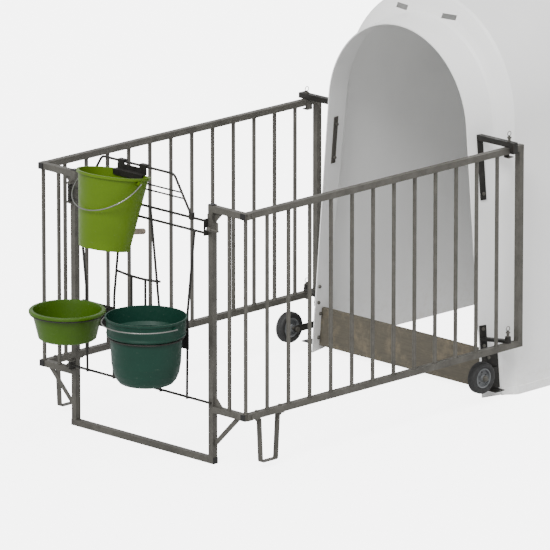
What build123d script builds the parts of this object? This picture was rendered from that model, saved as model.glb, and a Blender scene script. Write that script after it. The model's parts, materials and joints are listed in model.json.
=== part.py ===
from build123d import *

import os
from math import atan, cos, degrees, radians, sin, sqrt

# Calf hutch with a railed front pen, a feed gate, pails and tipping wheels.
# Millimetres. +Z is up and +Y runs from the pen's front to the back of the hutch.
# The origin is on the ground, under the middle of the pen's front ground bar.

# ---------------------------------------------------------------- driving dimensions
PEN_WIDTH = 1125.0  # between the centres of the two side rails
PEN_HEIGHT = 1034.0  # ground to the top of the side rails
PEN_LENGTH = 1540.0  # front posts' centre to the side rails' rear ends
GATE_OPENING = 766.0  # between the centres of the front posts
HUTCH_FRONT = 1412.0  # Y of the shell's front rim
HUTCH_LENGTH = 1498.0  # front rim to rear wall

# steel sections
SQ = 25.0  # square tube
SQ_WALL = 2.0
BAR = 16.0  # round bars of the fence
BAR_WALL = 1.5
ROD = 10.0  # round rod of the feed gate
WELD_GAP = 0.1  # left between two crossed rods at a weld
FIT = 0.05  # radial clearance of a pin or bolt in its hole
CLEAR = 0.3  # clearance between faces that pass each other
BOTTOM_RAIL_Z = 219.5  # centre height of the bottom rails
BAR_PITCH = 116.5
BAR_COUNT = 13
FIRST_BAR_Y = 1.5
GUSSET_LEG = 45.0
PLATE = 4.0  # flat steel plate
CAP = 3.0  # head of a plastic tube plug

# shell
WALL = 5.0
RIM_BASE = 479.0  # half width of the front rim at the ground
RIM_TOP = 1446.0
BAND_BASE = 499.0  # half width at the back of the front band
BAND_TOP = 1466.0
BAND_DEPTH = 83.0  # at the ground
STEP_TILT = 2.1  # degrees, the band gets deeper towards the top
STEP_RUN = 60.0
BODY_BASE = 536.0
BODY_TOP = 1556.0
TAIL_BASE = 524.0
TAIL_TOP = 1540.0
TAIL_RADIUS = 170.0
BAND_LEAN = 0.0857  # inward lean of the side walls, per unit of height
BODY_LEAN = 0.06
LIP_OUT = 8.0
LIP_HEIGHT = 32.0
VENT = (70.0, 20.0)
VENT_X = 130.0
VENT_Z = 1472.0
SKIN = 0.2  # gap between the shell and what is bolted on it

# fence hangers and lugs
PIN_D = 12.0
PIN_Y = 1468.0
ARM = (26.0, 22.0)  # depth and height of the upper arm
ARM_PAST_RAIL = 22.0  # from the rail's outer face to the arm's end
ARM_GAP = 0.5
STRAP_T = 5.0
STRAP_H = 263.5
LUG_T = 12.0
LUG_R = PIN_D / 2 + 7
COLLAR = (PIN_D + 12, 14.0)
LUG_ROOT_Y = 1428.0
LOCK_DEPTH = 12.0  # how far a shot lock pin reaches into its rail
LOCK_DRAW = 14.0
KEEPER_DROP = 14.0

# wheels
WHEEL_X = 537.0
WHEEL_Y = 1342.0
WHEEL_Z = 109.0
TYRE_D = 128.0
TYRE_W = 38.0
TYRE_SECTION = 24.0
AXLE_D = 12.0
WHEEL_ARM = (8.0, 26.0)
WHEEL_ARM_X = 500.0
BRACKET_Y = (1418.0, 1490.0)
BRACKET_Z = (32.0, 185.0)

# threshold board
BOARD_Y = 1470.0
BOARD_T = 19.0
BOARD_Z = (20.0, 180.0)

# fasteners
BOLT_D = 8.0
BOLT_AF = 13.0
BOLT_HEAD = 5.3
NUT_H = 6.5

# feed gate
ROD_Y = -SQ / 2 - 14.5
ROD_Z = (PEN_HEIGHT - 60, PEN_HEIGHT - 108.5, 250.0)
HINGE_X = -GATE_OPENING / 2
GATE_PIN_D = 10.0
KNUCKLE_D = GATE_PIN_D + 8
LUG_PLATE = 6.0
LOOP_TOP_Z = PEN_HEIGHT + 96
LOOP_TOP_HALF = 200.0
LOOP_FOOT_HALF = 296.0
LOOP_RODS_Z = (LOOP_TOP_Z - 67, LOOP_TOP_Z - 89)
NECK_TOP_HALF = 79.0
NECK_MID = (125.5, 580.0)
NECK_FOOT_HALF = 131.0
NECK_BAR_Z = 684.0
NECK_BAR_SAG = 8.0
STRUT_HALF = 38.0
OUTER_TOP_HALF = 322.0
OUTER_MID = (283.0, 595.0)
OUTER_FOOT_HALF = 278.0
KEEPER_X = (GATE_OPENING / 2 - 11, GATE_OPENING / 2 - 6)
LATCH_Z = PEN_HEIGHT - 90

# pail, hung at a tilt with its flat wall against the gate
PAIL_X = -25.0
PAIL_Y = ROD_Y - 110
PAIL_TOP_Z = LOOP_TOP_Z - 16
PAIL_H = 295.0
PAIL_R = 139.0
PAIL_FLAT = 91.0  # from the pail's axis to its flat wall
PAIL_FOOT_R = 103.0
PAIL_FOOT_FLAT = 41.0
PAIL_TILT = 9.4  # degrees, the foot swings away from the gate
PAIL_WALL = 3.0
PAIL_RIM = (6.0, 10.0)
PAIL_FOOT_Z = PAIL_TOP_Z - PAIL_H
EAR_Z = PAIL_TOP_Z - 20
BAIL_R = PAIL_R + 18
BAIL_LEG = 25.0
BAIL_WIRE = 5.0
BAIL_HANG = 33.0
TEAT_Z = PAIL_FOOT_Z + 60
TEAT_BOSS = (45.0, 90.0)  # from the pail's axis towards the gate
TEAT_END = 208.0
HOOK_HALF = 60.0
HOOK_INSET = 11.0  # the hook's inner plate behind the pail's back wall

# bucket and bowl
BUCKET_X = 228.0
BUCKET_Y = ROD_Y - 181
BUCKET_TOP_Z = 602.0
BUCKET_R = 160.0
BUCKET_H = 265.0
BUCKET_BODY_R = 140.5
BUCKET_COLLAR = 65.0
BUCKET_WALL = 3.5
BOWL_X = -212.0
BOWL_Y = ROD_Y - 181
BOWL_TOP_Z = 545.0
BOWL_R = 151.0
BOWL_H = 118.0
BOWL_FOOT_R = 114.0
BOWL_RIM = (13.0, 11.0)
BOWL_WALL = 3.5
RING_WIRE = 7.0
HOLDER_Z = (448.0, 520.0)

# derived places
RAIL_X = PEN_WIDTH / 2
POST_X = GATE_OPENING / 2
WING_BAR_X = (POST_X + RAIL_X) / 2 + 2
TOP_RAIL_Z = PEN_HEIGHT - SQ / 2
REAR_POST_Y = PEN_LENGTH - SQ / 2 - 0.5
HUTCH_REAR = HUTCH_FRONT + HUTCH_LENGTH
HALF = SQ / 2
ARM_Z0 = PEN_HEIGHT + ARM_GAP
ARM_Z1 = ARM_Z0 + ARM[1]
ARM_END = RAIL_X + HALF + ARM_PAST_RAIL
STRAP_BOTTOM = ARM_Z1 - STRAP_H
LUG_Z0 = BOTTOM_RAIL_Z + HALF + ARM_GAP
LUG_Z1 = LUG_Z0 + LUG_T
COLLAR_Z1 = LUG_Z1 + COLLAR[1]


# ---------------------------------------------------------------- helpers
def block(x, y, z):
    """A box from three (low, high) pairs."""
    size = [high - low for low, high in (x, y, z)]
    middle = [(high + low) / 2 for low, high in (x, y, z)]
    return Pos(*middle) * Box(*size)


def flip(shape):
    """The same piece on the other side of the pen."""
    return mirror(shape, Plane.YZ)


def both(shape):
    return [shape, flip(shape)]


def rod(start, end, diameter):
    """A solid round rod between two points."""
    direction = Vector(*end) - Vector(*start)
    plane = Plane(origin=start, z_dir=direction)
    return plane * Cylinder(diameter / 2, direction.length, align=(Align.CENTER, Align.CENTER, Align.MIN))


def pipe(start, end, diameter, wall):
    return rod(start, end, diameter) - rod(start, end, diameter - 2 * wall)


def square_tube(start, end):
    """A hollow square tube along one of the axes."""
    spans = []
    cores = []
    for low, high in zip(start, end):
        along = abs(high - low) > 1e-6
        spans.append((low, high) if along else (low - HALF, low + HALF))
        inner = HALF - SQ_WALL
        cores.append((low - 1, high + 1) if along else (low - inner, low + inner))
    return block(*spans) - block(*cores)


def bent(points, radius, diameter):
    """A round rod bent along a polyline."""
    path = FilletPolyline(*points, radius=radius)
    start = Plane(origin=path @ 0, z_dir=path % 0)
    return sweep(start * Circle(diameter / 2), path=path)


def group(pieces):
    """Separate solids kept together in one node."""
    solids = []
    for piece in pieces:
        solids += piece.solids()
    return Compound(children=solids)


def bolt(seat, grip):
    """A hexagon bolt whose head sits on the seat plane, with its shank behind it."""
    align = (Align.CENTER, Align.CENTER, Align.MIN)
    head = extrude(RegularPolygon(BOLT_AF / 2, 6, major_radius=False), BOLT_HEAD)
    shank = Pos(0, 0, -grip - NUT_H - 3) * Cylinder(BOLT_D / 2, grip + NUT_H + 3, align=align)
    return seat * (head + shank)


def nut(seat, grip):
    """The nut of the same bolt."""
    blank = extrude(RegularPolygon(BOLT_AF / 2, 6, major_radius=False), NUT_H)
    bore = Cylinder(BOLT_D / 2 + FIT, 3 * NUT_H)
    return seat * (Pos(0, 0, -grip - NUT_H) * (blank - bore))


def bolt_hole(seat, grip):
    return seat * (Pos(0, 0, -grip / 2) * Cylinder(BOLT_D / 2 + FIT, grip + 4))


# ---------------------------------------------------------------- shell form
def arch(base, top, lean, below):
    """Arched outline in its own plane: two leaning legs joined by one tangent arc."""
    slope = 1 / sqrt(1 + lean * lean)
    radius = (base - lean * top) * slope / (1 - lean * slope)
    centre = top - radius
    tangent = (radius * slope, centre + radius * lean * slope)
    foot = base + lean * below
    right = Line((foot, -below), tangent)
    over = ThreePointArc(tangent, (0, top), (-tangent[0], tangent[1]))
    left = Line((-tangent[0], tangent[1]), (-foot, -below))
    floor = Line((-foot, -below), (foot, -below))
    return make_face([right, over, left, floor])


def station(y, base, top, lean, grow, below, tilt=0.0):
    """One cross-section of the shell, grown outwards by a given amount."""
    plane = Plane(origin=(0, y, 0), x_dir=(1, 0, 0), z_dir=(0, -cos(radians(tilt)), sin(radians(tilt))))
    outline = arch(base + grow * sqrt(1 + lean * lean), top + grow, lean, below)
    return plane * outline


def smooth(t):
    return t * t * (3 - 2 * t)


def band_form(grow, below=0.0):
    """Solid form of the front band alone."""
    front = station(HUTCH_FRONT, RIM_BASE, RIM_TOP, BAND_LEAN, grow, below)
    back = station(HUTCH_FRONT + BAND_DEPTH, BAND_BASE, BAND_TOP, BAND_LEAN, grow, below, STEP_TILT)
    return loft([front, back], ruled=True)


def body_form(grow, below=0.0):
    """Solid form behind the band: the step, the long body and the rounded tail."""
    step_y = HUTCH_FRONT + BAND_DEPTH
    stations = [station(step_y, BAND_BASE, BAND_TOP, BAND_LEAN, grow, below, STEP_TILT)]
    for part in (0.2, 0.4, 0.6, 0.8, 1.0):
        mix = smooth(part)
        base = BAND_BASE + (BODY_BASE - BAND_BASE) * mix
        top = BAND_TOP + (BODY_TOP - BAND_TOP) * mix
        lean = BAND_LEAN + (BODY_LEAN - BAND_LEAN) * mix
        stations.append(station(step_y + STEP_RUN * part, base, top, lean, grow, below, STEP_TILT))
    radius = TAIL_RADIUS + grow
    for part in range(7):
        turn = radians(15 * part)
        inset = radius * (1 - cos(turn))
        y = HUTCH_REAR - TAIL_RADIUS + radius * sin(turn)
        stations.append(station(y, TAIL_BASE - inset, TAIL_TOP - inset, BODY_LEAN, grow, below))
    return loft(stations, ruled=True)


def band_half_width(y, z):
    """Half width of the band's outer face at a place on its straight legs."""
    depth = BAND_DEPTH + z * sin(radians(STEP_TILT))
    part = (y - HUTCH_FRONT) / depth
    return RIM_BASE + (BAND_BASE - RIM_BASE) * part - BAND_LEAN * z


def band_seat(y, z, lift):
    """Plane on the band's right side, facing out, lifted off the shell."""
    step = 1.0
    here = band_half_width(y, z)
    widening = (band_half_width(y + step, z) - here) / step
    leaning = (band_half_width(y, z + step) - here) / step
    normal = Vector(1, -widening, -leaning).normalized()
    origin = Vector(here, y, z) + normal * lift
    return Plane(origin=origin, z_dir=normal)


def band_skin(start, thickness, y, z):
    """A plate that follows the band's right side, from start out to start + thickness."""
    region = block((0, 900), y, z)
    outer = band_form(start + thickness, 50) & region
    return outer - band_form(start, 60)


# ---------------------------------------------------------------- hutch
STRAP_BOLTS = [(PIN_Y, STRAP_BOTTOM + 25), (PIN_Y, STRAP_BOTTOM + 165)]
LUG_BOLTS = [(LUG_ROOT_Y, LUG_Z0 - 22), (LUG_ROOT_Y, LUG_Z1 + 34)]
BRACKET_BOLTS = [(1446.0, 58.0), (1446.0, 160.0)]
STACK = SKIN + STRAP_T
BACKING_T = 4.0
SHORT_GRIP = STACK + WALL
LONG_GRIP = STACK + WALL + SKIN + BACKING_T


def shell_seats():
    """Seat and grip of every through bolt on the right side of the band."""
    lift = STACK + SKIN
    seats = [(band_seat(y, z, lift), LONG_GRIP + 2 * SKIN) for y, z in STRAP_BOLTS]
    seats += [(band_seat(y, z, lift), SHORT_GRIP + 2 * SKIN) for y, z in LUG_BOLTS + BRACKET_BOLTS]
    return seats


def drilled(piece, places, grip):
    for y, z in places:
        piece -= bolt_hole(band_seat(y, z, STACK), grip)
    return piece


def hutch_shell():
    cut = 40.0
    outer = band_form(0) + body_form(0)
    foot = body_form(LIP_OUT) & block((-900, 900), (0, 4000), (0, LIP_HEIGHT))
    inner = band_form(-WALL, cut) + body_form(-WALL, cut)
    mouth = extrude(station(HUTCH_FRONT, RIM_BASE, RIM_TOP, BAND_LEAN, -WALL, cut), 30, both=True)
    shell = (outer + foot) - inner - mouth
    for x in (-VENT_X, VENT_X):
        half = VENT[0] / 2
        y = (HUTCH_FRONT + BAND_DEPTH, HUTCH_FRONT + BAND_DEPTH + 130)
        z = (VENT_Z - VENT[1] / 2, VENT_Z + VENT[1] / 2)
        shell -= block((x - half, x + half), y, z)
    for seat, grip in shell_seats():
        hole = bolt_hole(seat, grip)
        shell = shell - hole - flip(hole)
    return shell


def threshold_board():
    span = (BOARD_Y - BOARD_T / 2, BOARD_Y + BOARD_T / 2)
    return (band_form(-WALL - 1.0, 40) & block((-600, 600), span, BOARD_Z))


def board_angle():
    """Steel angle behind the board's right end."""
    rear = BOARD_Y + BOARD_T / 2
    z = (BOARD_Z[0] + 10, BOARD_Z[1] - 10)
    angle = block((300, 600), (rear, rear + 3), z) - block((300, 435), (rear - 1, rear + 9), z)
    region = block((0, 900), (rear, HUTCH_FRONT + BAND_DEPTH), z)
    side = (band_form(-WALL - SKIN, 50) & region) - band_form(-WALL - SKIN - 3, 60)
    return (angle & band_form(-WALL - SKIN, 50)) + side


def hanger():
    """Right upper hanger: strap down the band, hollow arm over the side rail, end lip."""
    y = (PIN_Y - ARM[0] / 2, PIN_Y + ARM[0] / 2)
    strap = band_skin(SKIN, STRAP_T, y, (STRAP_BOTTOM, ARM_Z1))
    strap = drilled(strap, STRAP_BOLTS, LONG_GRIP)
    reach = (300, ARM_END)
    core = (y[0] + 3, y[1] - 3)
    arm = block(reach, y, (ARM_Z0, ARM_Z1)) - block(reach, core, (ARM_Z0 + 3, ARM_Z1 - 3))
    arm -= band_form(SKIN + STRAP_T / 2, 60)
    sleeve = rod((RAIL_X, PIN_Y, ARM_Z0), (RAIL_X, PIN_Y, ARM_Z1), PIN_D + 9)
    bore = rod((RAIL_X, PIN_Y, ARM_Z0 - 1), (RAIL_X, PIN_Y, ARM_Z1 + 1), PIN_D + 2 * FIT)
    return strap + arm + sleeve - bore


def hanger_lip(rear):
    """End plate of an upper arm; it hangs outside the rail, behind the pin on the hinge side."""
    y = (PIN_Y + HALF + 2, PIN_Y + HALF + 14) if rear else (PIN_Y - ARM[0] / 2, PIN_Y + ARM[0] / 2)
    x = (RAIL_X + HALF + 4, ARM_END)
    plate = block((ARM_END - PLATE, ARM_END), (PIN_Y - ARM[0] / 2, y[1]), (ARM_Z0, ARM_Z1))
    tongue = block(x, y, (ARM_Z0 - 23, ARM_Z0 + 3))
    return plate + tongue


def backing_strip():
    y = (PIN_Y - ARM[0] / 2, PIN_Y + ARM[0] / 2)
    region = block((0, 900), y, (STRAP_BOTTOM, STRAP_BOTTOM + 195))
    strip = (band_form(-WALL - SKIN, 50) & region) - band_form(-WALL - SKIN - BACKING_T, 60)
    return drilled(strip, STRAP_BOLTS, LONG_GRIP + 2)


def lower_lug():
    """Right lower lug: plate on the band, arm that leads forward to it, pin collar."""
    half_plate = 16.0
    y = (LUG_ROOT_Y - half_plate / 2 - 6, LUG_ROOT_Y + half_plate)
    plate = band_skin(SKIN, STRAP_T, y, (LUG_Z0 - 36, LUG_Z1 + 48))
    plate = drilled(plate, LUG_BOLTS, SHORT_GRIP)
    root = (440.0, LUG_ROOT_Y - 12)
    slope = atan((PIN_Y - root[1]) / (RAIL_X - root[0]))
    length = (RAIL_X - root[0]) / cos(slope)
    outline = Rectangle(length, 2 * LUG_R - 4, align=(Align.MIN, Align.CENTER))
    outline += Pos(length, 0) * Circle(LUG_R)
    arm = Pos(root[0], root[1], LUG_Z0) * Rot(0, 0, degrees(slope)) * extrude(outline, LUG_T)
    arm &= block((0, ARM_END), (HUTCH_FRONT + 1, HUTCH_FRONT + BAND_DEPTH), (0, PEN_HEIGHT))
    arm -= band_form(SKIN + STRAP_T / 2, 60)
    collar = rod((RAIL_X, PIN_Y, LUG_Z0), (RAIL_X, PIN_Y, COLLAR_Z1), COLLAR[0])
    bore = rod((RAIL_X, PIN_Y, LUG_Z0 - 1), (RAIL_X, PIN_Y, COLLAR_Z1 + 1), PIN_D + 2 * FIT)
    return plate + arm + collar - bore


def wheel_bracket():
    """Right wheel bracket: plate on the band, foot, and arm to the axle."""
    plate = band_skin(SKIN, STRAP_T, BRACKET_Y, BRACKET_Z)
    plate = drilled(plate, BRACKET_BOLTS, SHORT_GRIP)
    arm_x = (WHEEL_ARM_X - WHEEL_ARM[0], WHEEL_ARM_X)
    arm_z = (WHEEL_Z - WHEEL_ARM[1] / 2, WHEEL_Z + WHEEL_ARM[1] / 2)
    arm = block(arm_x, (WHEEL_Y, 1476), arm_z) + rod(
        (arm_x[0], WHEEL_Y, WHEEL_Z), (arm_x[1], WHEEL_Y, WHEEL_Z), WHEEL_ARM[1]
    )
    spacer = block((440, WHEEL_ARM_X), (1452, 1476), arm_z) - band_form(SKIN + STRAP_T / 2, 60)
    foot = block((440, WHEEL_ARM_X + 44), (1420, 1470), (BRACKET_Z[0], BRACKET_Z[0] + PLATE))
    foot -= band_form(SKIN + STRAP_T / 2, 60)
    bore = rod((400, WHEEL_Y, WHEEL_Z), (600, WHEEL_Y, WHEEL_Z), AXLE_D + 2 * FIT)
    return plate + arm + spacer + foot - bore


HUB_HALF = 20.0
AXLE_IN = WHEEL_ARM_X - WHEEL_ARM[0]
AXLE_OUT = WHEEL_X + HUB_HALF + CLEAR


def axle():
    """Right axle: head inside the arm, shank through the arm and the hub."""
    head = rod((AXLE_IN - 6, WHEEL_Y, WHEEL_Z), (AXLE_IN, WHEEL_Y, WHEEL_Z), 20)
    return head + rod((AXLE_IN - 1, WHEEL_Y, WHEEL_Z), (AXLE_OUT + 12, WHEEL_Y, WHEEL_Z), AXLE_D)


def axle_washer():
    start = (AXLE_OUT, WHEEL_Y, WHEEL_Z)
    end = (AXLE_OUT + 2.5, WHEEL_Y, WHEEL_Z)
    return rod(start, end, 26) - rod(start, end, AXLE_D + 2 * FIT)


def axle_nut():
    seat = Plane(origin=(AXLE_OUT + 2.5, WHEEL_Y, WHEEL_Z), z_dir=(1, 0, 0))
    blank = extrude(RegularPolygon(9.5, 6, major_radius=False), 8)
    return seat * (blank - Cylinder(AXLE_D / 2 + FIT, 40))


def tyre():
    """Solid rubber tyre with rounded shoulders, on the right wheel's axis."""
    outer = TYRE_D / 2
    inner = outer - TYRE_SECTION
    section = RectangleRounded(TYRE_SECTION, TYRE_W, 10)
    band = Pos((outer + inner) / 2, 0) * section
    ring = revolve(Plane.XZ * band, Axis.Z)
    return Pos(WHEEL_X, WHEEL_Y, WHEEL_Z) * Rot(0, 90, 0) * ring


def hub():
    """Moulded hub: bead seat, web and boss, with five round pockets."""
    seat_r = TYRE_D / 2 - TYRE_SECTION
    across = Plane(origin=(WHEEL_X, WHEEL_Y, WHEEL_Z), z_dir=(1, 0, 0))
    rim = Cylinder(seat_r, TYRE_W - 8) - Cylinder(seat_r - 5, TYRE_W)
    web = Cylinder(seat_r - 4, 8)
    boss = Cylinder(14, 2 * HUB_HALF)
    body = rim + web + boss - Cylinder(AXLE_D / 2 + FIT, 80)
    for place in PolarLocations(23, 5):
        body -= place * Cylinder(5, 20)
    return across * body


def pin_with_ring(top, length):
    """Upright pin whose head rests at height top, with a pull ring through the head."""
    shank = rod((0, 0, top - length), (0, 0, top), PIN_D)
    head = rod((0, 0, top), (0, 0, top + 5), PIN_D + 6)
    neck = rod((0, 0, top + 5), (0, 0, top + 11), 8)
    ring = Pos(0, 0, top + 18) * Rot(0, 90, 0) * Torus(9.5, 1.5)
    tip = chamfer(shank.edges().sort_by(Axis.Z)[0], 2)
    return Pos(RAIL_X, PIN_Y, 0) * (tip + head + neck + ring)


# ---------------------------------------------------------------- pen fence
def pin_hole(z):
    return rod((RAIL_X, PIN_Y, z - 20), (RAIL_X, PIN_Y, z + 20), PIN_D + 2 * FIT)


LEG_SPAN = (61.0, 187.0)
LEG_FOOT = (82.0, 164.0)
LEG_FOOT_Z = 23.0
LEG_STRAP = 4.0
LEG_GRIP = SQ + LEG_STRAP
TAB_Y = (-4.0, 34.0)
TAB_GRIP = SQ + PLATE
TAB_BOLT_Y = 22.0
BAR_Z = (BOTTOM_RAIL_Z + HALF, TOP_RAIL_Z - HALF)


def leg_seat(y):
    return Plane(origin=(RAIL_X, y, BOTTOM_RAIL_Z + HALF), z_dir=(0, 0, 1))


def tab_seat(z):
    return Plane(origin=(RAIL_X + HALF + PLATE, TAB_BOLT_Y, z), z_dir=(1, 0, 0))


def fence_seats():
    seats = [(leg_seat(y), LEG_GRIP) for y in LEG_SPAN]
    return seats + [(tab_seat(z), TAB_GRIP) for z in (TOP_RAIL_Z, BOTTOM_RAIL_Z)]


def side_rail(z):
    rail = square_tube((RAIL_X, -HALF, z), (RAIL_X, PEN_LENGTH, z)) - pin_hole(z)
    rail -= bolt_hole(tab_seat(z), TAB_GRIP)
    if z == BOTTOM_RAIL_Z:
        for y in LEG_SPAN:
            rail -= bolt_hole(leg_seat(y), LEG_GRIP)
    return rail


def side_bars():
    bars = []
    for number in range(BAR_COUNT):
        y = FIRST_BAR_Y + number * BAR_PITCH
        bars.append(pipe((RAIL_X, y, BAR_Z[0]), (RAIL_X, y, BAR_Z[1]), BAR, BAR_WALL))
    return bars


def rear_post():
    return square_tube((RAIL_X, REAR_POST_Y, BAR_Z[0]), (RAIL_X, REAR_POST_Y, BAR_Z[1]))


def front_post():
    return square_tube((POST_X, 0, SQ), (POST_X, 0, PEN_HEIGHT + 1))


def ground_bar():
    return square_tube((-POST_X - HALF, 0, HALF), (POST_X + HALF, 0, HALF))


def wing_rail(z):
    return square_tube((POST_X + HALF, 0, z), (RAIL_X - HALF, 0, z))


def wing_bar():
    return pipe((WING_BAR_X, 0, BAR_Z[0]), (WING_BAR_X, 0, BAR_Z[1]), BAR, BAR_WALL)


def gusset(z, up):
    """Triangular plate in the corner of the front post and a wing rail."""
    x = POST_X + HALF
    corner = [(x, z), (x + GUSSET_LEG, z), (x, z + GUSSET_LEG * up)]
    return extrude(Plane.XZ * make_face(Polyline(*corner, close=True)), PLATE / 2, both=True)


def wing_brace():
    """Flat bar from low on the front post up to the wing's bottom rail."""
    low = (POST_X + HALF, 67.0)
    high = (RAIL_X - HALF - 20, BOTTOM_RAIL_Z - HALF)
    rise = 26.0
    outline = [low, (high[0] + 6, high[1]), (high[0] - 22, high[1]), (low[0], low[1] + rise)]
    return extrude(Plane.XZ * make_face(Polyline(*outline, close=True)), PLATE / 2, both=True)


def end_cap(z):
    """Plastic plug in a side rail's front end."""
    inner = HALF - SQ_WALL - 0.1
    head = block((RAIL_X - HALF, RAIL_X + HALF), (-HALF - CAP, -HALF), (z - HALF, z + HALF))
    plug = block((RAIL_X - inner, RAIL_X + inner), (-HALF - 1, -HALF + 12), (z - inner, z + inner))
    return head + plug


def ground_plug():
    inner = HALF - SQ_WALL - 0.1
    end = POST_X + HALF
    head = block((end, end + CAP), (-HALF, HALF), (0, SQ))
    return head + block((end - 12, end + 1), (-inner, inner), (HALF - inner, HALF + inner))


def post_cap():
    inner = HALF - SQ_WALL - 0.1
    top = PEN_HEIGHT + 1
    head = block((POST_X - HALF, POST_X + HALF), (-HALF, HALF), (top, top + CAP))
    return head + block((POST_X - inner, POST_X + inner), (-inner, inner), (top - 12, top + 1))


def corner_tab(z):
    plate = block((RAIL_X + HALF, RAIL_X + HALF + PLATE), TAB_Y, (z - HALF, z + HALF))
    plate = fillet(plate.edges().filter_by(Axis.X).group_by(Axis.Y)[-1], HALF - 1)
    return plate - bolt_hole(tab_seat(z), TAB_GRIP)


def u_leg():
    """Ground leg bent from flat strap, bolted under the bottom rail."""
    top = BOTTOM_RAIL_Z - HALF - LEG_STRAP / 2
    foot = LEG_FOOT_Z + LEG_STRAP / 2
    heel = (LEG_SPAN[0] + 12, LEG_SPAN[1] - 12)
    points = [
        (RAIL_X, LEG_SPAN[0] - 14, top),
        (RAIL_X, heel[0], top),
        (RAIL_X, LEG_FOOT[0], foot),
        (RAIL_X, LEG_FOOT[1], foot),
        (RAIL_X, heel[1], top),
        (RAIL_X, LEG_SPAN[1] + 14, top),
    ]
    path = FilletPolyline(*points, radius=6)
    section = Plane(origin=points[0], x_dir=(1, 0, 0), z_dir=(0, 1, 0)) * Rectangle(SQ, LEG_STRAP)
    leg = sweep(section, path=path)
    for y in LEG_SPAN:
        leg -= bolt_hole(leg_seat(y), LEG_GRIP)
    return leg


def pin_keeper():
    """Angle under the top rail that the hinge pin's tip passes through."""
    y = (PIN_Y - 14, PIN_Y + 14)
    inner = RAIL_X - HALF
    low = TOP_RAIL_Z - HALF - KEEPER_DROP
    web = block((inner - PLATE, inner), y, (low - PLATE, PEN_HEIGHT - 3))
    shelf = block((inner - PLATE, RAIL_X + 11), y, (low - PLATE, low))
    return web + shelf - pin_hole(low)


def gate_lugs():
    """Lugs on the left front post, above and below each gate knuckle."""
    reach = (ROD_Y - KNUCKLE_D / 2 - 2, -HALF)
    lugs = []
    for low, high in KNUCKLE_SPANS:
        for z in ((low - CLEAR - LUG_PLATE, low - CLEAR), (high + CLEAR, high + CLEAR + LUG_PLATE)):
            plate = block((HINGE_X - 11, HINGE_X + 11), reach, z)
            bore = rod((HINGE_X, ROD_Y, z[0] - 1), (HINGE_X, ROD_Y, z[1] + 1), GATE_PIN_D + 2 * FIT)
            lugs.append(plate - bore)
    return lugs


KNUCKLE_SPANS = [(ROD_Z[2] - 15, ROD_Z[2] + 15), (ROD_Z[1] - 10.5, ROD_Z[0] + 11)]


def gate_pins():
    pins = []
    for low, high in KNUCKLE_SPANS:
        top = high + CLEAR + LUG_PLATE
        shank = rod((HINGE_X, ROD_Y, low - LUG_PLATE - 4), (HINGE_X, ROD_Y, top), GATE_PIN_D)
        head = rod((HINGE_X, ROD_Y, top), (HINGE_X, ROD_Y, top + 4), GATE_PIN_D + 6)
        pins.append(shank + head)
    return pins


def latch_guide():
    """Plate on the right front post with the tube that guides the latch bolt."""
    plate = block((POST_X - HALF, POST_X + HALF), (-HALF - PLATE, -HALF), (LATCH_Z - 29, LATCH_Z + 56))
    start = POST_X + 1
    tube = rod((start, ROD_Y, LATCH_Z), (start + 20, ROD_Y, LATCH_Z), ROD + 8)
    web = block((start, POST_X + HALF), (ROD_Y, -HALF - 1), (LATCH_Z - 6, LATCH_Z + 6))
    return plate + tube + web - rod((start - 1, ROD_Y, LATCH_Z), (start + 30, ROD_Y, LATCH_Z), ROD + 2 * FIT)


def latch_bolt():
    """Pointed round bolt with an upturned handle, drawn clear of the gate's keeper."""
    tip = KEEPER_X[1] + 2
    shank = rod((tip + 10, ROD_Y, LATCH_Z), (tip + 62, ROD_Y, LATCH_Z), ROD)
    nose_plane = Plane(origin=(tip, ROD_Y, LATCH_Z), z_dir=(1, 0, 0))
    nose = nose_plane * Cone(1.5, ROD / 2, 10, align=(Align.CENTER, Align.CENTER, Align.MIN))
    handle = rod((tip + 58, ROD_Y, LATCH_Z), (tip + 58, ROD_Y, LATCH_Z + 34), 8)
    return shank + nose + handle


# ---------------------------------------------------------------- feed gate
FRONT_Y = ROD_Y - ROD - WELD_GAP  # axis plane of rods welded on the front of the cross rods


def cross_rods():
    start = HINGE_X + KNUCKLE_D / 2 - 1
    rods = []
    for z in ROD_Z[:2]:
        rods.append(rod((start, ROD_Y, z), (KEEPER_X[0], ROD_Y, z), ROD))
    rods.append(rod((start, ROD_Y, ROD_Z[2]), (POST_X + 17, ROD_Y, ROD_Z[2]), ROD))
    knuckle = rod((HINGE_X, ROD_Y, 0), (HINGE_X, ROD_Y, PEN_HEIGHT), KNUCKLE_D)
    return [piece - knuckle for piece in rods]


def knuckles():
    pieces = []
    for low, high in KNUCKLE_SPANS:
        outer = rod((HINGE_X, ROD_Y, low), (HINGE_X, ROD_Y, high), KNUCKLE_D)
        bore = rod((HINGE_X, ROD_Y, low - 1), (HINGE_X, ROD_Y, high + 1), GATE_PIN_D + 2 * FIT)
        pieces.append(outer - bore)
    return pieces


def keeper_plate():
    plate = block(KEEPER_X, (ROD_Y - 11, ROD_Y + 9), (ROD_Z[1] - 9, ROD_Z[0] + 9))
    return plate - rod((KEEPER_X[0] - 9, ROD_Y, LATCH_Z), (KEEPER_X[1] + 9, ROD_Y, LATCH_Z), ROD + 1)


def top_loop():
    """Bent loop that stands on the upper cross rod and carries the pail."""
    foot = ROD_Z[0] + ROD / 2 + WELD_GAP
    half = LOOP_FOOT_HALF
    points = [
        (-half, ROD_Y, foot),
        (-LOOP_TOP_HALF, ROD_Y, LOOP_TOP_Z),
        (LOOP_TOP_HALF, ROD_Y, LOOP_TOP_Z),
        (half, ROD_Y, foot),
    ]
    return bent(points, 28, ROD) & block((-500, 500), (-99, 0), (foot, 1300))


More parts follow.
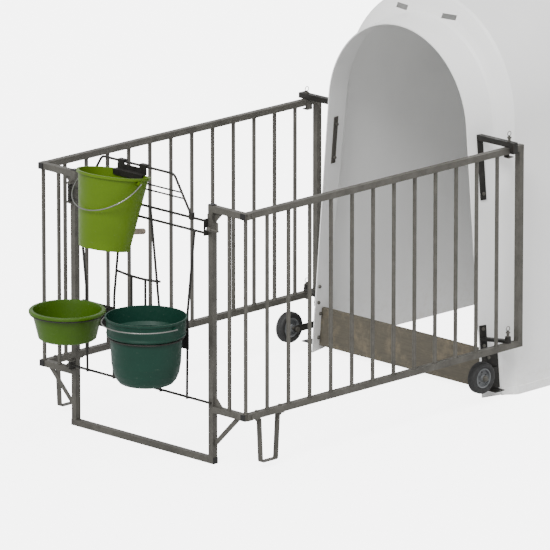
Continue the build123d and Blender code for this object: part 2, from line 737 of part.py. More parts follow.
def loop_half_width(z):
    foot = ROD_Z[0] + ROD / 2
    return LOOP_FOOT_HALF - (LOOP_FOOT_HALF - LOOP_TOP_HALF) * (z - foot) / (LOOP_TOP_Z - foot)


def loop_rods():
    """Two light rods across the loop, cut to meet its legs."""
    loop = top_loop()
    rods = []
    for z in LOOP_RODS_Z:
        half = loop_half_width(z) - 2
        rods.append(rod((-half, ROD_Y, z), (half, ROD_Y, z), ROD - 3) - loop)
    return rods


def loop_clasp():
    """Small clasp round the right foot of the loop and the rod under it."""
    z = ROD_Z[0]
    half = ROD / 2 + 3
    outer = block((LOOP_FOOT_HALF - 9, LOOP_FOOT_HALF + 9), (ROD_Y - half, ROD_Y + half), (z - half, z + 20))
    tunnel = rod((LOOP_FOOT_HALF - 20, ROD_Y, z), (LOOP_FOOT_HALF + 20, ROD_Y, z), ROD + 2 * FIT)
    return outer - tunnel - top_loop()


def neck_rod():
    """Right neck rod, cranked at its middle, welded on the front of the cross rods."""
    points = [
        (NECK_TOP_HALF, FRONT_Y, ROD_Z[0] + 4),
        (NECK_MID[0], FRONT_Y, NECK_MID[1]),
        (NECK_FOOT_HALF, FRONT_Y, ROD_Z[2] - 4),
    ]
    return bent(points, 60, ROD)


def outer_rod():
    points = [
        (OUTER_TOP_HALF, FRONT_Y, ROD_Z[1] + 4),
        (OUTER_MID[0], FRONT_Y, OUTER_MID[1]),
        (OUTER_FOOT_HALF, FRONT_Y, ROD_Z[2] - 4),
    ]
    return bent(points, 60, ROD)


def neck_bar():
    """Shallow sagging bar between the neck rods, behind them."""
    half = 120.0
    arc = ThreePointArc(
        (-half, ROD_Y, NECK_BAR_Z), (0, ROD_Y, NECK_BAR_Z - NECK_BAR_SAG), (half, ROD_Y, NECK_BAR_Z)
    )
    start = Plane(origin=arc @ 0, z_dir=arc % 0)
    return sweep(start * Circle(ROD / 2), path=arc)


def strut():
    """Right strut between the neck bar and the bottom rod, cut to fit both."""
    raw = rod((STRUT_HALF, ROD_Y, ROD_Z[2]), (STRUT_HALF, ROD_Y, NECK_BAR_Z), ROD)
    lower = rod((0, ROD_Y, ROD_Z[2]), (90, ROD_Y, ROD_Z[2]), ROD)
    upper = block((0, 90), (-60, 0), (NECK_BAR_Z - 12, NECK_BAR_Z + 30)) + neck_bar()
    return (raw - lower - upper).solids().sort_by(Axis.Z)[-1]


# ---------------------------------------------------------------- pail
def d_face(z, radius, flat, grow=0.0):
    """D-shaped outline: a round front and one flat wall that faces the gate."""
    outline = Circle(radius + grow) - Pos(0, flat + grow + 200) * Rectangle(900, 400)
    return Pos(PAIL_X, PAIL_Y, z) * outline


def pail_form(grow, below=0.0, above=0.0):
    slope = (PAIL_R - PAIL_FOOT_R) / PAIL_H
    top = d_face(PAIL_TOP_Z + above, PAIL_R + slope * above, PAIL_FLAT, grow)
    foot = d_face(PAIL_FOOT_Z + below, PAIL_FOOT_R, PAIL_FOOT_FLAT, grow)
    return loft([foot, top], ruled=True)


def tilted(shape):
    """A piece of the upright pail, turned about the ears' axis to how the pail hangs."""
    turn = Pos(PAIL_X, PAIL_Y, EAR_Z) * Rot(-PAIL_TILT, 0, 0) * Pos(-PAIL_X, -PAIL_Y, -EAR_Z)
    return turn * shape


def pail_rod(low, high, diameter):
    """A round piece of the upright pail that points at the gate, at the teat's height."""
    return rod((PAIL_X, PAIL_Y + low, TEAT_Z), (PAIL_X, PAIL_Y + high, TEAT_Z), diameter)


def milk_pail():
    form = pail_form(0)
    rim_z = PAIL_TOP_Z - PAIL_RIM[1]
    form += extrude(d_face(rim_z, PAIL_R, PAIL_FLAT, PAIL_RIM[0]), PAIL_RIM[1])
    for side in (-1, 1):
        form += rod((PAIL_X + side * 120, PAIL_Y, EAR_Z), (PAIL_X + side * (PAIL_R + 13), PAIL_Y, EAR_Z), 18)
    form += pail_rod(*TEAT_BOSS, 30)
    form -= pail_form(-PAIL_WALL, PAIL_WALL, 1)
    for side in (-1, 1):
        start = (PAIL_X + side * (PAIL_R + 2), PAIL_Y, EAR_Z)
        form -= rod(start, (PAIL_X + side * (PAIL_R + 40), PAIL_Y, EAR_Z), BAIL_WIRE + 2 * FIT)
    return tilted(form - pail_rod(TEAT_BOSS[0] - 20, TEAT_BOSS[1] + 10, 16 + 2 * FIT))


def pail_teat():
    """Rubber teat pushed into the pail's valve boss, pointing into the pen."""
    seat = TEAT_BOSS[1]
    body = pail_rod(seat + 4, TEAT_END, 24)
    body = fillet(body.edges().filter_by(GeomType.CIRCLE).sort_by(Axis.Y)[-1], 10)
    return tilted(pail_rod(seat - 14, seat + 1, 16) + pail_rod(seat, seat + 5, 30) + body)


def pail_hook():
    """Steel bracket over the pail's flat back wall, with two hooks over the loop's top bar."""
    bar_top = LOOP_TOP_Z + ROD / 2
    front = ROD_Y - ROD / 2 - 1
    back = ROD_Y + ROD / 2 + 1
    turn = radians(PAIL_TILT)
    wall = PAIL_FLAT - PAIL_WALL
    rise = PAIL_TOP_Z - EAR_Z
    rim_y = PAIL_Y + wall * cos(turn) + rise * sin(turn)
    shelf_z = EAR_Z - wall * sin(turn) + rise * cos(turn) + CLEAR
    inner = (rim_y - HOOK_INSET - PLATE, rim_y - HOOK_INSET)
    wide = (PAIL_X - HOOK_HALF - 20, PAIL_X + HOOK_HALF + 20)
    pieces = block(wide, inner, (shelf_z - 18, shelf_z + PLATE))
    pieces += block(wide, (inner[0], front), (shelf_z, shelf_z + PLATE))
    pieces += block(wide, (front - PLATE, front), (shelf_z, bar_top - 12))
    over = bar_top + CLEAR
    for x in (PAIL_X - HOOK_HALF, PAIL_X + HOOK_HALF):
        span = (x - 18, x + 18)
        pieces += block(span, (front - PLATE, front), (shelf_z, over + PLATE))
        pieces += block(span, (front - 1, back + PLATE), (over, over + PLATE))
        pieces += block(span, (back, back + PLATE), (LOOP_TOP_Z - 8, over + 1))
    return pieces


def bail(x, y, z, radius, leg, ear_reach, hang):
    """Wire bail on two ears, hanging the given angle below level towards -Y."""
    arc = CenterArc((0, -leg), radius, 180, 180)
    start = Plane(origin=(-radius, -leg, 0), z_dir=(0, -1, 0))
    wire = sweep(start * Circle(BAIL_WIRE / 2), path=arc)
    for side in (-1, 1):
        if leg > 0:
            wire += rod((side * radius, 0, 0), (side * radius, -leg, 0), BAIL_WIRE)
        wire += Pos(side * radius, 0, 0) * Sphere(BAIL_WIRE / 2)
        wire += rod((side * ear_reach, 0, 0), (side * radius, 0, 0), BAIL_WIRE)
    return Pos(x, y, z) * Rot(hang, 0, 0) * wire


# ---------------------------------------------------------------- bucket, bowl and holders
def turned(points, x, y, z):
    """A solid turned about a vertical axis from (radius, height) points."""
    face = make_face(Polyline(*points, close=True))
    return Pos(x, y, z) * revolve(Plane.XZ * face, Axis.Z)


RIDGE_H = 14.0  # height of the ridge's underside, from the body up to the ridge
BUCKET_EAR_Z = BUCKET_TOP_Z - 22
BUCKET_BAIL_R = 173.0
BUCKET_BAIL_HANG = 1.0
BUCKET_EAR_ROOT = BUCKET_R - 6.5  # inside the collar's wall


def drinking_bucket():
    """Round bucket with a collar, a ridge under it, ears and a rounded foot."""
    w = BUCKET_WALL
    h = BUCKET_H
    ridge = h - BUCKET_COLLAR
    body = BUCKET_BODY_R
    outer = [
        (0, 0), (100, 0), (106, 3), (118, 18), (128, 42), (135, 80), (body, ridge - RIDGE_H),
        (body + 13, ridge - 6), (body + 15, ridge), (body + 13, ridge + 5),
        (BUCKET_R - 4, h - 10), (BUCKET_R, h - 8), (BUCKET_R, h),
    ]
    inner = [
        (BUCKET_R - w - 2, h), (body + 12 - w, ridge + 4), (body - w, ridge - 10), (135 - w, 80),
        (128 - w, 43), (118 - w, 21), (100, w + 1), (0, w + 1),
    ]
    form = turned(outer + inner, BUCKET_X, BUCKET_Y, BUCKET_TOP_Z - h)
    centre = (BUCKET_X, BUCKET_Y)
    for side in (-1, 1):
        ear = rod((centre[0] + side * BUCKET_EAR_ROOT, centre[1], BUCKET_EAR_Z),
                  (centre[0] + side * (BUCKET_R + 8), centre[1], BUCKET_EAR_Z), 16)
        hole = rod((centre[0] + side * (BUCKET_R + 1), centre[1], BUCKET_EAR_Z),
                   (centre[0] + side * (BUCKET_R + 20), centre[1], BUCKET_EAR_Z), BAIL_WIRE + 2 * FIT)
        form = form + ear - hole
    return form


def feed_bowl():
    """Shallow bowl with a broad turned-down rim."""
    w = BOWL_WALL
    h = BOWL_H
    wide, deep = BOWL_RIM
    outer = [
        (0, 0), (BOWL_FOOT_R - 8, 0), (BOWL_FOOT_R, 6), (BOWL_R - wide - 3, h - deep - 14),
        (BOWL_R - wide, h - w - 3), (BOWL_R - w - 2, h - w - 3), (BOWL_R - w, h - deep), (BOWL_R, h - deep),
        (BOWL_R, h - 4), (BOWL_R - 4, h), (BOWL_R - wide - w, h),
    ]
    inner = [(BOWL_R - wide - w - 3, h - deep), (BOWL_FOOT_R - w - 2, 9), (BOWL_FOOT_R - 12, w), (0, w)]
    return turned(outer + inner, BOWL_X, BOWL_Y, BOWL_TOP_Z - h)


RIDGE_RISE = (13.0, 8.0)  # the ridge's underside runs out and up by this much
BUCKET_RING_R = BUCKET_BODY_R + RING_WIRE / 2 + 1.5
RING_TOUCH = (RING_WIRE / 2 + CLEAR) * sqrt(RIDGE_RISE[0] ** 2 + RIDGE_RISE[1] ** 2)
RING_DROP = (RING_TOUCH - (BUCKET_RING_R - BUCKET_BODY_R) * RIDGE_RISE[1]) / RIDGE_RISE[0]
BUCKET_RING_Z = BUCKET_TOP_Z - BUCKET_COLLAR - RIDGE_H - RING_DROP
BOWL_RING_R = BOWL_R - RING_WIRE / 2 - 2
BOWL_RING_Z = BOWL_TOP_Z - BOWL_RIM[1] - CLEAR - RING_WIRE / 2
PLATE_FRONT = FRONT_Y - ROD / 2 - WELD_GAP - PLATE
HOLDER_ARM_X = 62.0


def holder_ring(x, y, z, radius):
    """Wire ring with two arms back to the holder plate."""
    ring = Pos(x, y, z) * Torus(radius, RING_WIRE / 2)
    for side in (-1, 1):
        offset = side * HOLDER_ARM_X
        start = y + sqrt(radius * radius - offset * offset)
        ring += rod((x + offset, start, z), (x + offset, PLATE_FRONT - WELD_GAP, z), RING_WIRE)
    return ring


def holder_plate(x, ring_z):
    """Steel plate across a neck rod and an outer rod."""
    centre = (NECK_MID[0] + OUTER_MID[0]) / 2
    middle = centre if x > 0 else -centre
    span = (middle - 92, middle + 92)
    return block(span, (PLATE_FRONT, PLATE_FRONT + PLATE), (HOLDER_Z[0], ring_z + 8))


# ---------------------------------------------------------------- assembly
def build():
    nodes = {}
    nodes["hutch_shell"] = hutch_shell()
    nodes["threshold_board"] = threshold_board()
    nodes["board_angles"] = group(both(board_angle()))
    nodes["left_hanger"] = flip(hanger() + hanger_lip(rear=True))
    nodes["right_hanger"] = hanger() + hanger_lip(rear=False)
    nodes["backing_strips"] = group(both(backing_strip()))
    nodes["lower_lugs"] = group(both(lower_lug()))
    nodes["wheel_brackets"] = group(both(wheel_bracket()))
    nodes["wheel_axles"] = group(both(axle()))
    nodes["axle_nuts_washers"] = group(both(axle_washer()) + both(axle_nut()))
    fasteners = []
    for seat, grip in shell_seats():
        fasteners += both(bolt(seat, grip)) + both(nut(seat, grip))
    nodes["shell_bolts_nuts"] = group(fasteners)
    upper_pin = pin_with_ring(ARM_Z1, ARM_Z1 - TOP_RAIL_Z + HALF + KEEPER_DROP + PLATE + 3)
    lower_pin = pin_with_ring(COLLAR_Z1, COLLAR_Z1 - BOTTOM_RAIL_Z + HALF + 10)
    nodes["upper_hinge_pin"] = flip(upper_pin)
    nodes["lower_hinge_pin"] = flip(lower_pin)
    nodes["upper_lock_pin"] = pin_with_ring(ARM_Z1 + LOCK_DRAW, ARM_Z1 - PEN_HEIGHT + LOCK_DEPTH)
    lower_reach = COLLAR_Z1 - BOTTOM_RAIL_Z - HALF + LOCK_DEPTH
    nodes["lower_lock_pin"] = pin_with_ring(COLLAR_Z1 + LOCK_DRAW, lower_reach)
    for side, turn in (("left", flip), ("right", lambda shape: shape)):
        nodes[side + "_tyre"] = turn(tyre())
        nodes[side + "_hub"] = turn(hub())
        nodes[side + "_top_rail"] = turn(side_rail(TOP_RAIL_Z))
        nodes[side + "_bottom_rail"] = turn(side_rail(BOTTOM_RAIL_Z))
        nodes[side + "_side_bars"] = group([turn(bar) for bar in side_bars()])
    nodes["rear_posts"] = group(both(rear_post()))
    nodes["front_posts"] = group(both(front_post()))
    nodes["ground_bar"] = ground_bar()
    nodes["wing_rails"] = group(both(wing_rail(TOP_RAIL_Z)) + both(wing_rail(BOTTOM_RAIL_Z)))
    nodes["wing_bars"] = group(both(wing_bar()))
    nodes["wing_gussets"] = group(both(gusset(BAR_Z[1], -1)) + both(gusset(BAR_Z[0], 1)))
    nodes["wing_braces"] = group(both(wing_brace()))
    plugs = both(end_cap(TOP_RAIL_Z)) + both(end_cap(BOTTOM_RAIL_Z)) + both(ground_plug())
    nodes["tube_plugs"] = group(plugs + both(post_cap()))
    nodes["corner_tabs"] = group(both(corner_tab(TOP_RAIL_Z)) + both(corner_tab(BOTTOM_RAIL_Z)))
    nodes["u_legs"] = group(both(u_leg()))
    fasteners = []
    for seat, grip in fence_seats():
        fasteners += both(bolt(seat, grip)) + both(nut(seat, grip))
    nodes["fence_bolts_nuts"] = group(fasteners)
    nodes["pin_keepers"] = group(both(pin_keeper()))
    nodes["gate_lugs"] = group(gate_lugs())
    nodes["gate_pins"] = group(gate_pins())
    nodes["latch_guide"] = latch_guide()
    nodes["latch_bolt"] = latch_bolt()
    nodes["gate_cross_rods"] = group(cross_rods())
    nodes["gate_knuckles_keeper"] = group(knuckles() + [keeper_plate()])
    nodes["gate_loop"] = top_loop()
    nodes["gate_loop_rods"] = group(loop_rods())
    nodes["gate_loop_clasps"] = group(both(loop_clasp()))
    nodes["gate_neck_rods"] = group(both(neck_rod()))
    nodes["gate_outer_rods"] = group(both(outer_rod()))
    nodes["gate_neck_bar_struts"] = group([neck_bar()] + both(strut()))
    nodes["bucket_holder_ring"] = holder_ring(BUCKET_X, BUCKET_Y, BUCKET_RING_Z, BUCKET_RING_R)
    nodes["bowl_holder_ring"] = holder_ring(BOWL_X, BOWL_Y, BOWL_RING_Z, BOWL_RING_R)
    plates = [holder_plate(BUCKET_X, BUCKET_RING_Z), holder_plate(BOWL_X, BOWL_RING_Z)]
    nodes["holder_plates"] = group(plates)
    nodes["milk_pail"] = milk_pail()
    nodes["pail_hook"] = pail_hook()
    nodes["pail_teat"] = pail_teat()
    nodes["pail_bail"] = bail(PAIL_X, PAIL_Y, EAR_Z, BAIL_R, BAIL_LEG, PAIL_R + 4, BAIL_HANG)
    nodes["drinking_bucket"] = drinking_bucket()
    nodes["bucket_bail"] = bail(
        BUCKET_X, BUCKET_Y, BUCKET_EAR_Z, BUCKET_BAIL_R, 0, BUCKET_R + 3, BUCKET_BAIL_HANG
    )
    nodes["feed_bowl"] = feed_bowl()
    return nodes


def main():
    os.makedirs("parts", exist_ok=True)
    for name, shape in build().items():
        export_step(shape, f"parts/{name}.step")


main()
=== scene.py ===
import json
from math import cos, pi, radians, sin

import bmesh
import bpy
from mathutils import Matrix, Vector, noise


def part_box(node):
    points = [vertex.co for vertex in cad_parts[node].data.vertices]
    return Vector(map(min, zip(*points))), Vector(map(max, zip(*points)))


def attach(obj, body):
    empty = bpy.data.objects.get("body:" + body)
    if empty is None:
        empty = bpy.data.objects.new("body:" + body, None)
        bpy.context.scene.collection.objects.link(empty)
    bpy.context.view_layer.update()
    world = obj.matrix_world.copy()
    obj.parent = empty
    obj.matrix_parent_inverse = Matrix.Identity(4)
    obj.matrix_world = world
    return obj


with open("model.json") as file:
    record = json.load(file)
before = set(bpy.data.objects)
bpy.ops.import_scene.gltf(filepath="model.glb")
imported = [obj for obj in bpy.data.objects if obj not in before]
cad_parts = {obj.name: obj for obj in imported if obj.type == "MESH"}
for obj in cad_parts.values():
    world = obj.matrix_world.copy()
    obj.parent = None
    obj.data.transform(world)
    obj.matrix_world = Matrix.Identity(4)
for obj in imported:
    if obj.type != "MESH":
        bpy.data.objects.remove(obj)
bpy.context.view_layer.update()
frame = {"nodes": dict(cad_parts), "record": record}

NODES = frame["nodes"]
SLOT_OF = {row["node"]: row["material_slot"] for row in frame["record"]["subparts"]}

CAMERA_TURN = 45.0  # degrees round from the front, towards the right
CAMERA_HEIGHT = 15.0
CAMERA_LENS = 600
SENSOR = 36
VIEW_WIDTH = 2.1705  # metres across the picture at the aim
AIM = (-0.0045, 0.728, 0.544)  # its Y is counted from the pen's front
WORLD_LIGHT = 1.0
LAMPS = (
    # name, degrees round, degrees up, power, angle
    ("key", 20, 48, 3.2, 22),
    ("fill", 80, 60, 0.9, 40),
)
FLOOR_HALF = 150
FLOOR_GLOW = 5.0  # seen by the camera's own rays only
ROD = 0.010  # the gate's round rod
BEAD = 0.0022  # radius of the weld beads on the upright bars
BLOB = (0.0024, 0.0030, 0.0042)  # half sizes of a spot of weld on the gate


# ---------------------------------------------------------------- camera, light and floor
def direction(turn, height):
    """Unit vector at so many degrees round from the front and up from level."""
    turn = radians(turn)
    height = radians(height)
    return Vector((sin(turn) * cos(height), -cos(turn) * cos(height), sin(height)))


def set_camera():
    """Long lens at the front right."""
    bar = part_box("ground_bar")
    front_y = (bar[0].y + bar[1].y) / 2
    aim = Vector((AIM[0], front_y + AIM[1], AIM[2]))
    back = direction(CAMERA_TURN, CAMERA_HEIGHT)
    data = bpy.data.cameras.new("camera")
    data.lens = CAMERA_LENS
    data.sensor_width = SENSOR
    data.clip_end = 400
    camera = bpy.data.objects.new("camera", data)
    camera.location = aim + back * (VIEW_WIDTH * CAMERA_LENS / SENSOR)
    camera.rotation_euler = back.to_track_quat("Z", "Y").to_euler()
    bpy.context.scene.collection.objects.link(camera)
    bpy.context.scene.camera = camera


def set_light():
    world = bpy.data.worlds.new("studio")
    world.use_nodes = True
    background = world.node_tree.nodes["Background"]
    background.inputs["Color"].default_value = (1.0, 1.0, 1.0, 1)
    background.inputs["Strength"].default_value = WORLD_LIGHT
    bpy.context.scene.world = world
    for name, turn, height, power, angle in LAMPS:
        lamp = bpy.data.lights.new(name, "SUN")
        lamp.energy = power
        lamp.angle = radians(angle)
        sun = bpy.data.objects.new(name, lamp)
        sun.rotation_euler = direction(turn, height).to_track_quat("Z", "Y").to_euler()
        bpy.context.scene.collection.objects.link(sun)


def mesh_object(name, points, faces):
    mesh = bpy.data.meshes.new(name)
    mesh.from_pydata([tuple(p) for p in points], [], faces)
    mesh.validate()
    mesh.polygons.foreach_set("use_smooth", [True] * len(mesh.polygons))
    obj = bpy.data.objects.new(name, mesh)
    bpy.context.scene.collection.objects.link(obj)
    return obj


# ---------------------------------------------------------------- materials
class Nodes:
    """A small helper for building one material's node tree."""

    def __init__(self, name):
        self.material = bpy.data.materials.new(name)
        self.material.use_nodes = True
        self.tree = self.material.node_tree
        self.shader = self.tree.nodes["Principled BSDF"]
        self.place = self.add("ShaderNodeTexCoord").outputs["Object"]

    def add(self, kind, **values):
        node = self.tree.nodes.new(kind)
        for key, value in values.items():
            setattr(node, key, value)
        return node

    def join(self, source, node, socket):
        self.tree.links.new(source, node.inputs[socket])

    def stretched(self, scale):
        mapping = self.add("ShaderNodeMapping")
        mapping.inputs["Scale"].default_value = scale
        self.join(self.place, mapping, "Vector")
        return mapping.outputs["Vector"]

    def noise(self, scale, detail=4.0, rough=0.55, vector=None, warp=0.0):
        node = self.add("ShaderNodeTexNoise")
        node.inputs["Scale"].default_value = scale
        node.inputs["Detail"].default_value = detail
        node.inputs["Roughness"].default_value = rough
        node.inputs["Distortion"].default_value = warp
        self.join(vector or self.place, node, "Vector")
        return node.outputs["Fac"]

    def cells(self, scale):
        node = self.add("ShaderNodeTexVoronoi", feature="F1")
        node.inputs["Scale"].default_value = scale
        self.join(self.place, node, "Vector")
        return node.outputs["Distance"]

    def ramp(self, source, stops):
        node = self.add("ShaderNodeValToRGB")
        points = node.color_ramp.elements
        while len(points) < len(stops):
            points.new(0.5)
        for point, (place, colour) in zip(points, stops):
            point.position = place
            point.color = (*colour, 1)
        self.join(source, node, "Fac")
        return node.outputs["Color"]

    def spread(self, source, low, high, start=0.3, end=0.7):
        node = self.add("ShaderNodeMapRange")
        for key, value in (("From Min", start), ("From Max", end), ("To Min", low), ("To Max", high)):
            node.inputs[key].default_value = value
        self.join(source, node, "Value")
        return node.outputs["Result"]

    def mix(self, factor, first, second, blend="MIX"):
        node = self.add("ShaderNodeMix", data_type="RGBA", blend_type=blend)
        if isinstance(factor, float):
            node.inputs[0].default_value = factor
        else:
            self.tree.links.new(factor, node.inputs[0])
        for socket, value in ((6, first), (7, second)):
            if isinstance(value, tuple):
                node.inputs[socket].default_value = (*value, 1)
            else:
                self.tree.links.new(value, node.inputs[socket])
        return node.outputs[2]

    def maths(self, kind, first, second):
        node = self.add("ShaderNodeMath", operation=kind)
        for number, value in enumerate((first, second)):
            if isinstance(value, float):
                node.inputs[number].default_value = value
            else:
                self.tree.links.new(value, node.inputs[number])
        return node.outputs[0]

    def height(self):
        """Height above the ground, from object space."""
        node = self.add("ShaderNodeSeparateXYZ")
        self.join(self.place, node, "Vector")
        return node.outputs["Z"]

    def colour(self, source):
        self.join(source, self.shader, "Base Color")

    def roughness(self, source):
        self.join(source, self.shader, "Roughness")

    def bump(self, *layers):
        """Stacks (height source, distance in metres, strength) layers."""
        last = None
        for source, distance, strength in layers:
            node = self.add("ShaderNodeBump")
            node.inputs["Distance"].default_value = distance
            node.inputs["Strength"].default_value = strength
            self.join(source, node, "Height")
            if last:
                self.join(last, node, "Normal")
            last = node.outputs["Normal"]
        self.join(last, self.shader, "Normal")

    def set(self, **values):
        for key, value in values.items():
            self.shader.inputs[key.replace("_", " ")].default_value = value
        return self


def shade(colour, factor):
    return tuple(channel * factor for channel in colour)


def galvanised(name, base, metallic=0.75, rough=(0.38, 0.62)):
    """Dull hot-dip zinc: faint spangle, soft clouds, white bloom and small pits."""
    n = Nodes(name)
    clouds = n.noise(14, 5, 0.6)
    spangle = n.cells(95)
    tone = n.ramp(clouds, [(0.3, shade(base, 0.72)), (0.55, base), (0.75, shade(base, 1.3))])
    tone = n.mix(n.spread(spangle, 0.0, 0.30, 0.1, 0.9), tone, shade(base, 1.45))
    bloom = n.spread(n.noise(45, 6, 0.7), 0.0, 0.45, 0.58, 0.75)
    tone = n.mix(bloom, tone, shade(base, 1.9))
    n.colour(tone)
    n.roughness(n.spread(n.noise(30, 4), *rough))
    n.bump((n.noise(160, 3), 0.0006, 0.35), (n.noise(900, 2), 0.0001, 0.5))
    n.set(Metallic=metallic, Specular_IOR_Level=0.25)
    return n.material


def dark_steel(name, base, metallic=0.6):
    """Dark weathered steel with rubbed lighter patches and a little brown."""
    n = Nodes(name)
    tone = n.ramp(n.noise(25, 6, 0.65), [(0.32, shade(base, 0.6)), (0.55, base), (0.78, shade(base, 1.6))])
    brown = (base[0] * 1.5, base[1] * 1.05, base[2] * 0.7)
    tone = n.mix(n.spread(n.noise(60, 6, 0.7, warp=0.5), 0.0, 0.6, 0.57, 0.72), tone, brown)
    n.colour(tone)
    n.roughness(n.spread(n.noise(40, 4), 0.36, 0.62))
    n.bump((n.noise(220, 4), 0.0005, 0.35), (n.noise(1200, 2), 0.0001, 0.4))
    n.set(Metallic=metallic, Specular_IOR_Level=0.25)
    return n.material


def moulded(name, base, rough):
    """Moulded plastic: even colour, slight flow marks, fine grain, light scuffs."""
    n = Nodes(name)
    tone = n.ramp(n.noise(6, 3), [(0.3, shade(base, 0.9)), (0.7, shade(base, 1.08))])
    flow = n.noise(9, 3, 0.5, n.stretched((1, 1, 9)), 0.4)
    tone = n.mix(n.spread(flow, 0.0, 0.18, 0.5, 0.8), tone, shade(base, 1.25))
    scuff = n.noise(70, 8, 0.75, n.stretched((1, 1, 3)), 0.8)
    tone = n.mix(n.spread(scuff, 0.0, 0.2, 0.62, 0.75), tone, (0.6, 0.6, 0.55))
    n.colour(tone)
    n.roughness(n.spread(n.noise(55, 5), rough - 0.06, rough + 0.12))
    n.bump((n.noise(25, 3), 0.0015, 0.12), (n.noise(700, 2), 0.00012, 0.45))
    n.set(Specular_IOR_Level=0.22)
    return n.material


def gel_coat(name, base):
    """White gel coat: faint orange peel, weather stains and splashes near the ground."""
    n = Nodes(name)
    tone = n.ramp(n.noise(3.5, 4), [(0.3, shade(base, 0.965)), (0.7, base)])
    streak = n.noise(10, 5, 0.6, n.stretched((1, 1, 0.12)))
    tone = n.mix(n.spread(streak, 0.0, 0.20, 0.55, 0.8), tone, shade(base, 0.86))
    low = n.spread(n.height(), 0.30, 0.0, 0.0, 0.30)
    splash = n.spread(n.noise(38, 7, 0.75), 0.0, 1.0, 0.48, 0.7)
    tone = n.mix(n.maths("MULTIPLY", low, splash), tone, (0.50, 0.44, 0.34))
    n.colour(tone)
    n.roughness(n.spread(n.noise(20, 4), 0.28, 0.44))
    n.bump((n.noise(28, 2), 0.0015, 0.12), (n.noise(420, 2), 0.0002, 0.28))
    n.set(Coat_Weight=0.25, Coat_Roughness=0.2, IOR=1.5)
    return n.material


def board_face(name, base):
    """Weathered threshold board: long grain, cracks, dried mud."""
    n = Nodes(name)
    grain = n.noise(28, 8, 0.7, n.stretched((0.35, 6, 7)), 1.2)
    tone = n.ramp(grain, [(0.3, shade(base, 0.62)), (0.5, base), (0.72, shade(base, 1.3))])
    crack = n.noise(60, 6, 0.6, n.stretched((0.12, 5, 10)), 0.6)
    tone = n.mix(n.spread(crack, 0.0, 0.7, 0.62, 0.72), tone, shade(base, 0.35))
    mud = n.spread(n.noise(12, 7, 0.7), 0.0, 0.6, 0.5, 0.72)
    tone = n.mix(mud, tone, (0.20, 0.16, 0.10))
    n.colour(tone)
    n.roughness(n.spread(grain, 0.6, 0.85))
    n.bump((grain, 0.0012, 0.5), (n.noise(500, 3), 0.0002, 0.4))
    return n.material


def rubber(name, base, rough=0.62):
    n = Nodes(name)
    tone = n.ramp(n.noise(40, 6), [(0.3, shade(base, 0.7)), (0.7, shade(base, 1.4))])
    dust = n.spread(n.noise(110, 7, 0.75), 0.0, 0.5, 0.55, 0.75)
    tone = n.mix(dust, tone, shade(base, 3.2))
    n.colour(tone)
    n.roughness(n.spread(n.noise(90, 4), rough - 0.08, rough + 0.16))
    n.bump((n.noise(260, 4), 0.0004, 0.4), (n.noise(1500, 2), 0.0001, 0.4))
    return n.material


MATERIALS = {
    "galvanised_steel": galvanised("galvanised_steel", (0.085, 0.081, 0.071), 0.35),
    "gate_rod": dark_steel("gate_rod", (0.026, 0.025, 0.022), 0.25),
    "dark_steel": dark_steel("dark_steel", (0.022, 0.021, 0.019), 0.25),
    "zinc_wire": galvanised("zinc_wire", (0.20, 0.20, 0.19), 0.8, (0.25, 0.42)),
    "white_shell": gel_coat("white_shell", (0.86, 0.86, 0.85)),
    "board": board_face("board", (0.075, 0.066, 0.048)),
    "black_plastic": moulded("black_plastic", (0.015, 0.015, 0.015), 0.45),
    "lime_plastic": moulded("lime_plastic", (0.068, 0.130, 0.0005), 0.36),
    "green_plastic": moulded("green_plastic", (0.034, 0.082, 0.0005), 0.36),
    "dark_green_plastic": moulded("dark_green_plastic", (0.004, 0.030, 0.019), 0.40),
    "tyre_rubber": rubber("tyre_rubber", (0.012, 0.012, 0.012)),
    "grey_hub": moulded("grey_hub", (0.13, 0.135, 0.14), 0.42),
    "teat_rubber": rubber("teat_rubber", (0.22, 0.18, 0.14), 0.45),
}

def dress(obj, slot):
    obj.data.materials.clear()
    obj.data.materials.append(MATERIALS[slot])


def dress_nodes():
    for node, obj in NODES.items():
        dress(obj, SLOT_OF[node])


# ---------------------------------------------------------------- welds
def add_ring(points, faces, centre, axis, radius, bead, seed):
    """An uneven bead of weld around a bar: a torus whose section swells and shrinks."""
    around = 20
    section = 6  # points around the bead
    side = axis.orthogonal().normalized()
    other = axis.cross(side)
    start = len(points)
    for i in range(around):
        turn = 2 * pi * i / around
        out = side * cos(turn) + other * sin(turn)
        swell = bead * (1 + 0.25 * noise.noise(Vector((seed * 3.7, cos(turn) * 2.5, sin(turn) * 2.5))))
        for j in range(section):
            tilt = 2 * pi * j / section
            points.append(centre + out * (radius + swell * cos(tilt)) + axis * swell * sin(tilt))
    for i in range(around):
        for j in range(section):
            a = start + i * section + j
            b = start + i * section + (j + 1) % section
            c = start + ((i + 1) % around) * section + (j + 1) % section
            d = start + ((i + 1) % around) * section + j
            faces.append((a, b, c, d))


def islands(node):
    """The separate bars of one node, each as its lowest and highest corner."""
    mesh = NODES[node].data
    place = NODES[node].matrix_world
    work = bmesh.new()
    work.from_mesh(mesh)
    bmesh.ops.remove_doubles(work, verts=work.verts, dist=1e-6)
    seen = set()
    boxes = []
    for vert in work.verts:
        if vert.index in seen:
            continue
        stack = [vert]
        seen.add(vert.index)
        found = []
        while stack:
            here = stack.pop()
            found.append(place @ here.co)
            for edge in here.link_edges:
                far = edge.other_vert(here)
                if far.index not in seen:
                    seen.add(far.index)
                    stack.append(far)
        low = Vector([min(p[k] for p in found) for k in range(3)])
        high = Vector([max(p[k] for p in found) for k in range(3)])
        boxes.append((low, high))
    work.free()
    return boxes


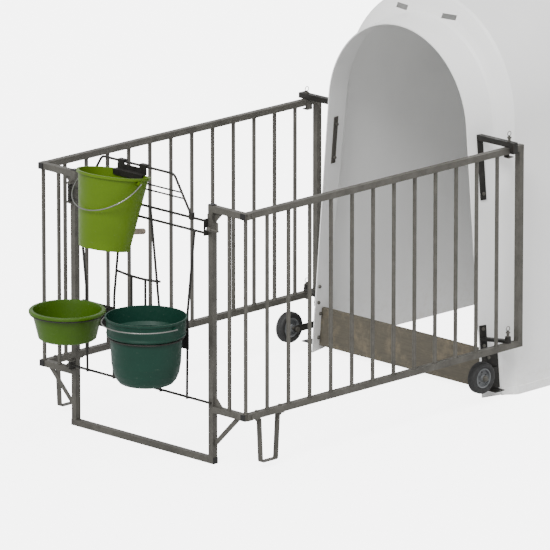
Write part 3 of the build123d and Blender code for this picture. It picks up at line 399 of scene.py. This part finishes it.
def weld_bars(name, nodes, body, slot_name, bead):
    """Beads where upright round bars meet the rails at their two ends."""
    points = []
    faces = []
    seed = 0
    for node in nodes:
        for low, high in islands(node):
            size = high - low
            if size.z < 4 * max(size.x, size.y):
                continue
            middle = (low + high) / 2
            radius = max(size.x, size.y) / 2
            for z in (low.z + bead * 0.6, high.z - bead * 0.6):
                seed += 1
                centre = Vector((middle.x, middle.y, z))
                add_ring(points, faces, centre, Vector((0, 0, 1)), radius, bead, seed)
    welds = mesh_object(name, points, faces)
    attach(welds, body)
    dress(welds, slot_name)


def weld_gate():
    """Spots of weld where the gate's front rods lie against its cross rods."""
    points = []
    faces = []
    low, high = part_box("gate_cross_rods")
    levels = (high.z - ROD / 2, low.z + ROD / 2)
    seed = 100
    for node in ("gate_neck_rods", "gate_outer_rods"):
        for rod_low, rod_high in islands(node):
            for z in levels:
                if not rod_low.z - ROD < z < rod_high.z + ROD:
                    continue
                middle = middle_at(node, rod_low, rod_high, z)
                for side in (-1, 1):
                    seed += 1
                    centre = Vector((middle + side * ROD * 0.42, low.y, z))
                    add_blob(points, faces, centre, BLOB, seed)
    welds = mesh_object("gate_rod_welds", points, faces)
    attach(welds, "gate")
    dress(welds, "gate_rod")


def middle_at(node, low, high, z):
    """Middle X of one rod of a node at a height."""
    near = [v.co for v in NODES[node].data.vertices
            if low.x - 1e-4 < v.co.x < high.x + 1e-4 and abs(v.co.z - z) < 0.03]
    if not near:
        return (low.x + high.x) / 2
    return sum(v.x for v in near) / len(near)


def add_blob(points, faces, centre, size, seed):
    """An uneven ball of weld metal."""
    start = len(points)
    around = 10
    rows = 6
    for i in range(rows + 1):
        tilt = pi * i / rows
        for j in range(around):
            turn = 2 * pi * j / around
            way = Vector((sin(tilt) * cos(turn), sin(tilt) * sin(turn), cos(tilt)))
            swell = 1 + 0.2 * noise.noise(way * 1.7 + Vector((seed * 2.3, 0, 0)))
            points.append(centre + Vector((way.x * size[0], way.y * size[1], way.z * size[2])) * swell)
    for i in range(rows):
        for j in range(around):
            k = (j + 1) % around
            faces.append((start + i * around + j, start + i * around + k,
                          start + (i + 1) * around + k, start + (i + 1) * around + j))


def set_floor():
    corners = [(x * FLOOR_HALF, y * FLOOR_HALF, 0) for x, y in ((-1, -1), (1, -1), (1, 1), (-1, 1))]
    floor = mesh_object("floor", corners, [(0, 1, 2, 3)])
    n = Nodes("floor")
    n.colour(n.ramp(n.noise(0.8, 3), [(0.3, (0.60, 0.60, 0.60)), (0.7, (0.63, 0.63, 0.63))]))
    n.set(Roughness=0.8, Emission_Color=(1, 1, 1, 1))
    glow = n.maths("MULTIPLY", n.add("ShaderNodeLightPath").outputs["Is Camera Ray"], FLOOR_GLOW)
    n.join(glow, n.shader, "Emission Strength")
    floor.data.materials.append(n.material)


set_camera()
set_light()
set_floor()
dress_nodes()
weld_bars("side_bar_welds", ("left_side_bars", "right_side_bars"), "fence", "galvanised_steel", BEAD)
weld_bars("wing_bar_welds", ("wing_bars",), "fence", "galvanised_steel", BEAD)
weld_gate()
